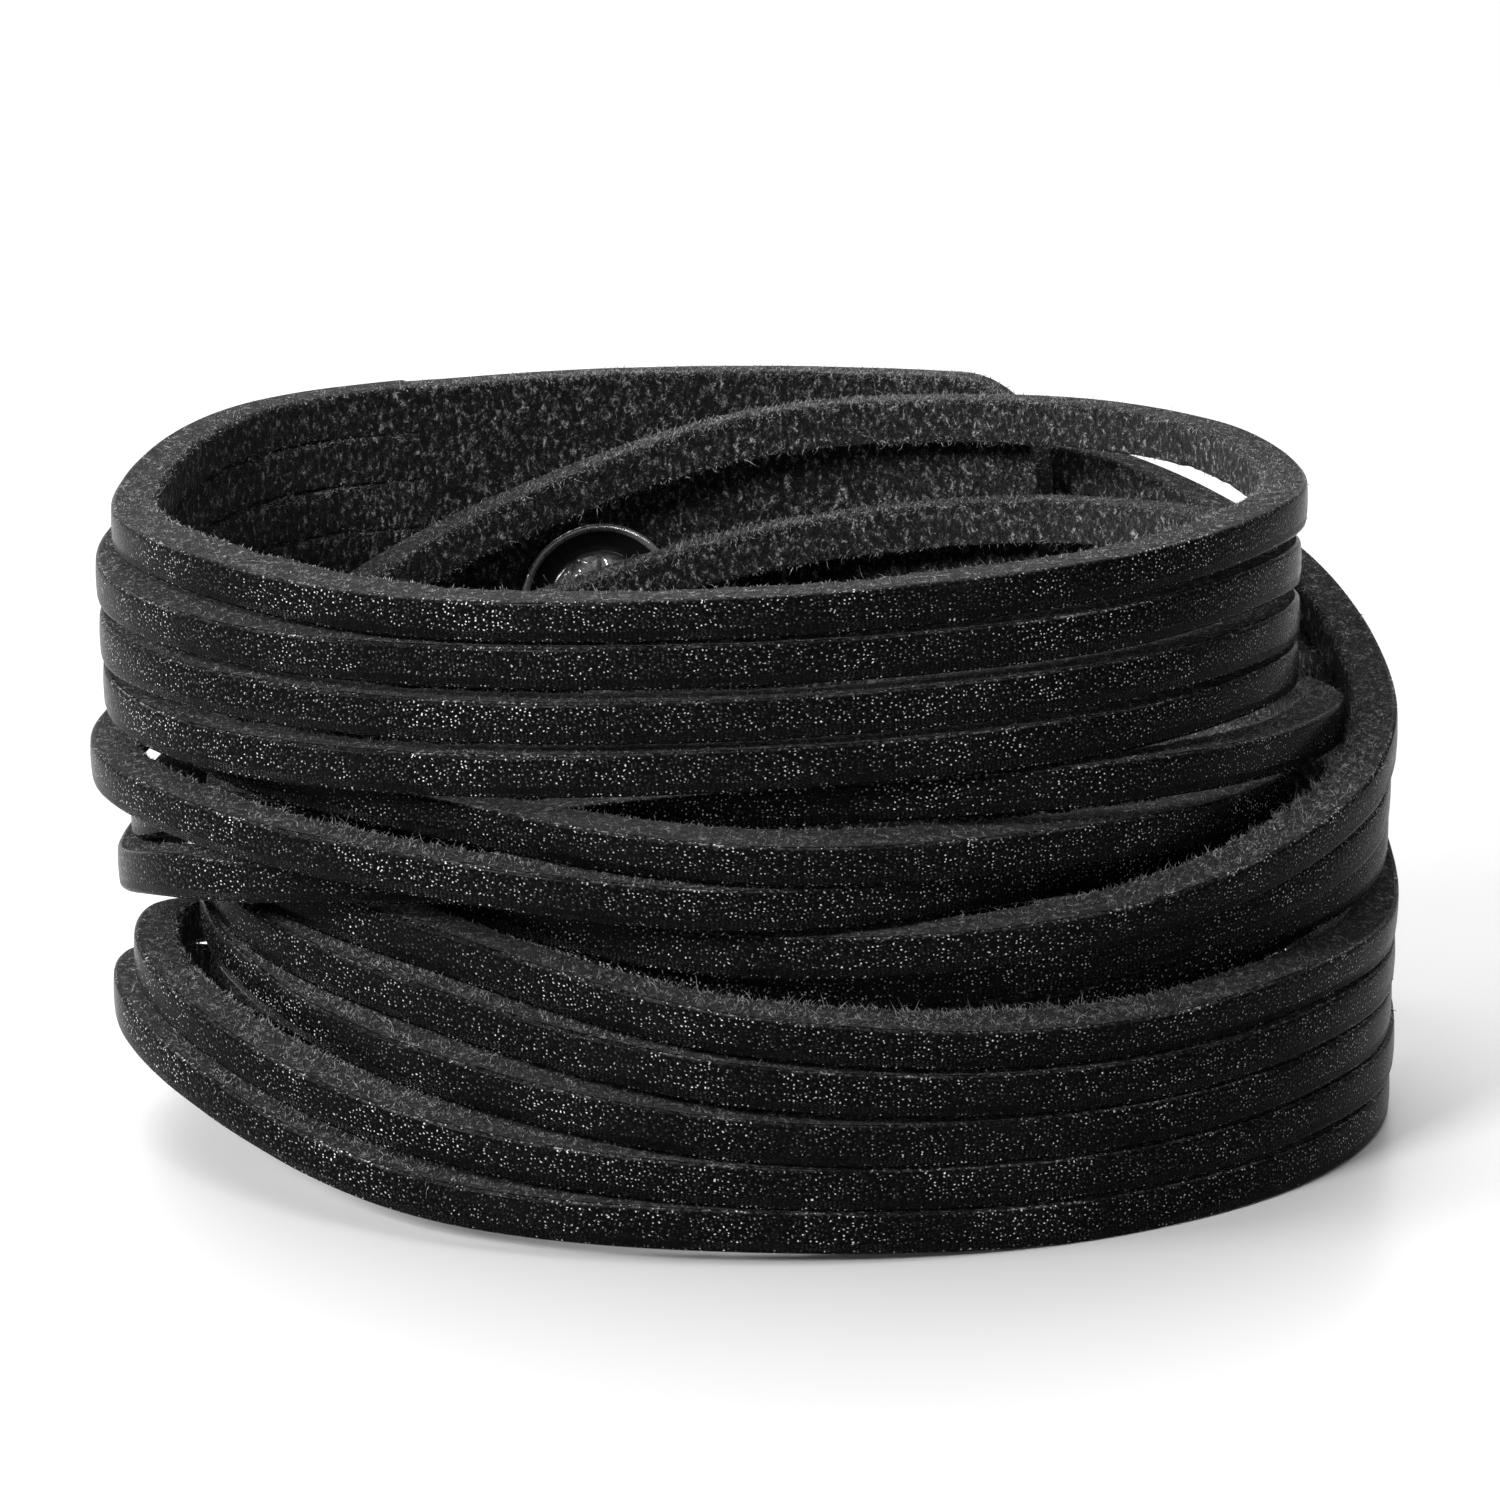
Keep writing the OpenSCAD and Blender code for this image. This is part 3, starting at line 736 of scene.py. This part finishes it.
def ramp(tree, fac, stops):
    """Greys along an input: rows of input and grey."""
    made = node(tree, "ShaderNodeValToRGB", {"Fac": fac})
    elements = made.color_ramp.elements
    while len(elements) < len(stops):
        elements.new(0.5)
    for element, (at, grey) in zip(elements, stops):
        element.position = at
        element.color = (grey, grey, grey, 1)
    return made.outputs["Color"]


def noise_texture(tree, vector, scale, detail, output="Fac", **more):
    inputs = {"Vector": vector, "Scale": scale, "Detail": detail, **more}
    return node(tree, "ShaderNodeTexNoise", inputs).outputs[output]


def math_node(tree, operation, a, b):
    return node(tree, "ShaderNodeMath", {0: a, 1: b}, operation=operation).outputs[0]


def times(tree, a, b):
    return math_node(tree, "MULTIPLY", a, b)


def plus(tree, a, b):
    return math_node(tree, "ADD", a, b)


def larger(tree, a, b):
    return math_node(tree, "MAXIMUM", a, b)


def relief(tree, strength, depth, height):
    """The normal of a surface with a relief so deep, in metres."""
    inputs = {"Strength": strength, "Distance": depth, "Height": height}
    return node(tree, "ShaderNodeBump", inputs).outputs["Normal"]


def strap_vector(tree):
    made = node(tree, "ShaderNodeAttribute", attribute_name="strap", attribute_type="GEOMETRY")
    return made.outputs["Vector"]


def object_vector(tree):
    return node(tree, "ShaderNodeTexCoord").outputs["Object"]


def scaled(tree, vector, scale):
    return node(tree, "ShaderNodeMapping", {"Vector": vector, "Scale": scale}).outputs["Vector"]


def third(tree, vector):
    return node(tree, "ShaderNodeSeparateXYZ", {"Vector": vector}).outputs["Z"]


def grain_leather():
    """Pressed pebble grain, near black, whose pebbles glint one by one, helped by painted glints, sheen and
    rim highlight.
    """
    mat, tree, shader = new_material("black_grain_leather")
    strap = strap_vector(tree)
    where = object_vector(tree)
    uneven = noise_texture(tree, strap, 1.4, 2.0, output="Color")
    shifted = node(tree, "ShaderNodeVectorMath", {0: uneven, 1: (0.35, 0.35, 0.0), 2: strap},
                   operation="MULTIPLY_ADD").outputs["Vector"]
    cells = node(tree, "ShaderNodeTexVoronoi", {"Vector": shifted, "Scale": 4.8, "Randomness": 1.0},
                 voronoi_dimensions="2D").outputs
    each = node(tree, "ShaderNodeSeparateColor", {"Color": cells["Color"]}).outputs["Red"]

    # pebbles, each a dome of its own height
    steep = plus(tree, times(tree, each, 0.9), 0.35)
    dome = ramp(tree, cells["Distance"], [(0.0, 1.0), (0.2, 0.75), (0.42, 0.0)])
    dome = times(tree, dome, steep)
    patches = noise_texture(tree, where, 260.0, 3.0, Roughness=0.6)
    soft = noise_texture(tree, where, 900.0, 2.0)
    height = plus(tree, times(tree, soft, 0.4), dome)
    normal = relief(tree, 1.0, 0.000032, height)

    # their tops get painted glints, brighter in some patches, and a fine painted sheen lies between them
    tops = ramp(tree, cells["Distance"], [(0.1, 1.0), (0.28, 0.0)])
    wear_and_painted_highlights = times(tree, tops, ramp(tree, each, [(0.1, 0.05), (0.5, 0.35), (0.9, 1.0)]))
    wear_and_painted_highlights = times(tree, wear_and_painted_highlights, ramp(tree, patches, [(0.36, 0.4), (0.62, 1.0)]))
    fine_noise = noise_texture(tree, where, 5500.0, 2.0, Roughness=0.7)
    wear_and_painted_highlights = larger(tree, wear_and_painted_highlights, ramp(tree, fine_noise, [(0.5, 0.0), (0.72, 0.04)]))

    # a painted highlight along the rim, in dashes
    rim = times(tree, third(tree, strap), -1.0)
    dashes = noise_texture(tree, where, 3800.0, 2.0, Roughness=0.7)
    painted_rim_highlight = times(tree, rim, ramp(tree, dashes, [(0.42, 0.05), (0.62, 0.6)]))
    painted_rim_highlight = times(tree, painted_rim_highlight, ramp(tree, patches, [(0.4, 0.2), (0.6, 1.0)]))

    # the colour: near black, lightened by the painted glints, the painted sheen and the painted rim highlight
    feed(tree, shader, {
        "Base Color": ramp(tree, larger(tree, wear_and_painted_highlights, painted_rim_highlight), [(0.0, 0.0012), (0.35, 0.03), (1.0, 0.44)]),
        "Roughness": ramp(tree, patches, [(0.35, 0.18), (0.65, 0.25)]),
        "Normal": normal,
        "Specular IOR Level": 0.015,
    })
    return mat


def suede_leather():
    """The flesh side and the cut edges: matted fibres, dark grey, with painted shade making the pits between
    the clumps black.
    """
    mat, tree, shader = new_material("black_suede_leather")
    strap = strap_vector(tree)
    where = object_vector(tree)
    curls = noise_texture(tree, where, 5200.0, 3.0, Roughness=0.75, Distortion=1.8)
    pits = noise_texture(tree, scaled(tree, where, (3600.0, 3600.0, 2200.0)), 1.0, 2.0,
                         Roughness=0.6, Distortion=0.5)
    streaks = noise_texture(tree, scaled(tree, where, (2600.0, 2600.0, 4600.0)), 1.0, 3.0,
                            Roughness=0.65, Distortion=0.8)
    # pits on the suede side, streaks on the cut edges
    broken = node(tree, "ShaderNodeMix", {"Factor": third(tree, strap), "A": streaks, "B": pits}).outputs[0]
    # nap sets both the relief and the colour: the fibres' tone varies, and the low pits are painted near
    # black as shade
    nap = plus(tree, times(tree, curls, 0.62), times(tree, broken, 0.58))
    feed(tree, shader, {
        "Base Color": ramp(tree, nap, [(0.54, 0.0005), (0.61, 0.0045), (0.675, 0.028), (0.78, 0.24)]),
        "Normal": relief(tree, 1.0, 0.0003, nap),
        "Roughness": 0.95,
        "Specular IOR Level": 0.05,
        "Sheen Weight": 0.05,
        "Sheen Roughness": 0.5,
    })
    return mat


def fibre_leather():
    """Loose fibres, some dark and some light."""
    mat, tree, shader = new_material("leather_fibre")
    tone = noise_texture(tree, object_vector(tree), 2500.0, 1.0)
    feed(tree, shader, {
        "Base Color": ramp(tree, tone, [(0.3, 0.012), (0.7, 0.24)]),
        "Roughness": 0.7,
        "Specular IOR Level": 0.2,
    })
    return mat


def snap_metal():
    """Gloss black enamel over metal, worn to grey metal where it stands proud, with faint handling marks."""
    mat, tree, shader = new_material("black_enamel_metal")
    where = object_vector(tree)
    smear = noise_texture(tree, where, 900.0, 5.0, Roughness=0.6)
    fine_noise = noise_texture(tree, where, 4200.0, 3.0, Roughness=0.7)
    wear = third(tree, strap_vector(tree))
    bare = times(tree, wear, ramp(tree, fine_noise, [(0.38, 0.15), (0.6, 1.0)]))
    feed(tree, shader, {
        "Base Color": ramp(tree, bare, [(0.0, 0.004), (1.0, 0.45)]),
        "Metallic": ramp(tree, bare, [(0.0, 0.0), (0.6, 0.8)]),
        "Roughness": ramp(tree, smear, [(0.35, 0.1), (0.7, 0.24)]),
        "Normal": relief(tree, 0.5, 0.00003, fine_noise),
        "Specular IOR Level": 0.22,
        "Coat Weight": 0.12,
        "Coat Roughness": 0.06,
    })
    return mat


# The pieces
grain, suede, fibre, enamel = grain_leather(), suede_leather(), fibre_leather(), snap_metal()
leather = [grain, suede, fibre]

for k in range(1, len(HEIGHTS) + 1):
    strand = make_strand(k, leather, STRAND_HAIRS)
    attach(strand, "root")
    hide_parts("strand_%d" % k)

inner = make_tab("leather_inner_tab", INNER_TAB_CUT_AZ, INNER_TAB_ROUND_AZ, inner_tab_reach, INNER_TAB_Z, 0.0,
                 leather, INNER_TAB_HAIRS, strays=True)
outer = make_tab("leather_outer_tab", OUTER_TAB_CUT_AZ, OUTER_TAB_ROUND_AZ, outer_tab_reach, SNAP_Z,
                 OUTER_TAB_RISE, leather, OUTER_TAB_HAIRS)
for tab, cad in ((inner, "inner_tab"), (outer, "outer_tab")):
    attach(tab, "root")
    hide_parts(cad)

eyelet = make_turned("enamel_eyelet", EYELET_PROFILE, EYELET_STEP, EYELET_WEAR, enamel, cut=split_front)
cap = make_turned("enamel_cap", CAP_PROFILE, CAP_STEP, CAP_WEAR, enamel)
for piece, cad in ((eyelet, "snap_eyelet"), (cap, "snap_cap")):
    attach(piece, "root")
    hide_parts(cad)

for name in ("snap_socket", "snap_stud"):
    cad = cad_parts[name]
    cad.data.materials.clear()
    cad.data.materials.append(enamel)

# Floor, light and camera. The camera and most of the lights aim at the centre.
CENTRE = Vector((0, -LOOP_FORWARD * MM, 0.018))
FLOOR_HALF = 1.5
# Area lights: name, place, size, power, and what they aim at.
LIGHTS = [
    ("top_softbox", (-0.16, 0.08, 0.5), (0.35, 0.35), 2.0, CENTRE),
    ("key", (-0.27, -0.35, 0.25), (0.12, 0.12), 4.5, CENTRE),
    ("left_softbox", (-0.46, -0.14, 0.23), (0.14, 0.14), 2.2, CENTRE),
    ("right_softbox", (0.34, -0.42, 0.12), (0.1, 0.1), 0.5, CENTRE),
    ("back_softbox", (0.0, 0.8, 0.8), (1.0, 0.6), 10.5, Vector((0, 0.5, 0))),
]
# Focal length and sensor in millimetres, angle above the table, and metres from the centre.
LENS, SENSOR = 134.4, 36.0
CAMERA_ELEVATION, CAMERA_DISTANCE = math.radians(14), 0.28
CLIP_START, CLIP_END = 0.01, 10


def make_floor():
    """A wide pale table top."""
    s = FLOOR_HALF
    mesh = bpy.data.meshes.new("floor")
    mesh.from_pydata([(-s, -s, 0), (s, -s, 0), (s, s, 0), (-s, s, 0)], [], [(0, 1, 2, 3)])
    floor = link_object("floor", mesh)
    mat, tree, shader = new_material("white_floor")
    feed(tree, shader, {"Base Color": (0.4, 0.4, 0.4, 1), "Roughness": 0.32, "Specular IOR Level": 0.35})
    mesh.materials.append(mat)


def make_light(name, at, size, power, aim):
    data = bpy.data.lights.new(name, "AREA")
    data.shape = "RECTANGLE"
    data.size, data.size_y = size
    data.energy = power
    light = link_object(name, data)
    light.location = at
    light.rotation_euler = (aim - Vector(at)).to_track_quat("-Z", "Y").to_euler()


def brightness(tree, value, start, end):
    """A brightness that changes evenly with an input. Start and end are an input and its brightness."""
    inputs = {"Value": value, "From Min": start[0], "From Max": end[0], "To Min": start[1], "To Max": end[1]}
    return node(tree, "ShaderNodeMapRange", inputs).outputs["Result"]


def make_world():
    """Soft light from above and behind, weaker from the right."""
    world = bpy.data.worlds.new("studio")
    world.use_nodes = True
    tree = world.node_tree
    direction = node(tree, "ShaderNodeTexCoord").outputs["Generated"]
    parts = node(tree, "ShaderNodeSeparateXYZ", {"Vector": direction}).outputs
    above = brightness(tree, parts["Z"], (0.25, 0.0), (0.9, 0.7))
    behind = brightness(tree, parts["Y"], (-0.5, 0.22), (0.2, 1.05))
    sided = brightness(tree, parts["X"], (0.25, 1.0), (0.7, 0.45))
    strength = times(tree, plus(tree, above, behind), sided)
    feed(tree, tree.nodes["Background"], {"Strength": strength, "Color": (1, 1, 1, 1)})
    bpy.context.scene.world = world


def make_camera():
    data = bpy.data.cameras.new("camera")
    data.lens, data.sensor_width = LENS, SENSOR
    data.clip_start, data.clip_end = CLIP_START, CLIP_END
    camera = link_object("camera", data)
    back = Vector((0, -math.cos(CAMERA_ELEVATION), math.sin(CAMERA_ELEVATION)))
    camera.location = CENTRE + back * CAMERA_DISTANCE
    camera.rotation_euler = (math.radians(90) - CAMERA_ELEVATION, 0, 0)
    return camera


make_floor()
make_world()
for light in LIGHTS:
    make_light(*light)
bpy.context.scene.camera = make_camera()
bpy.context.scene.view_settings.view_transform = "Standard"
bpy.context.scene.view_settings.look = "None"
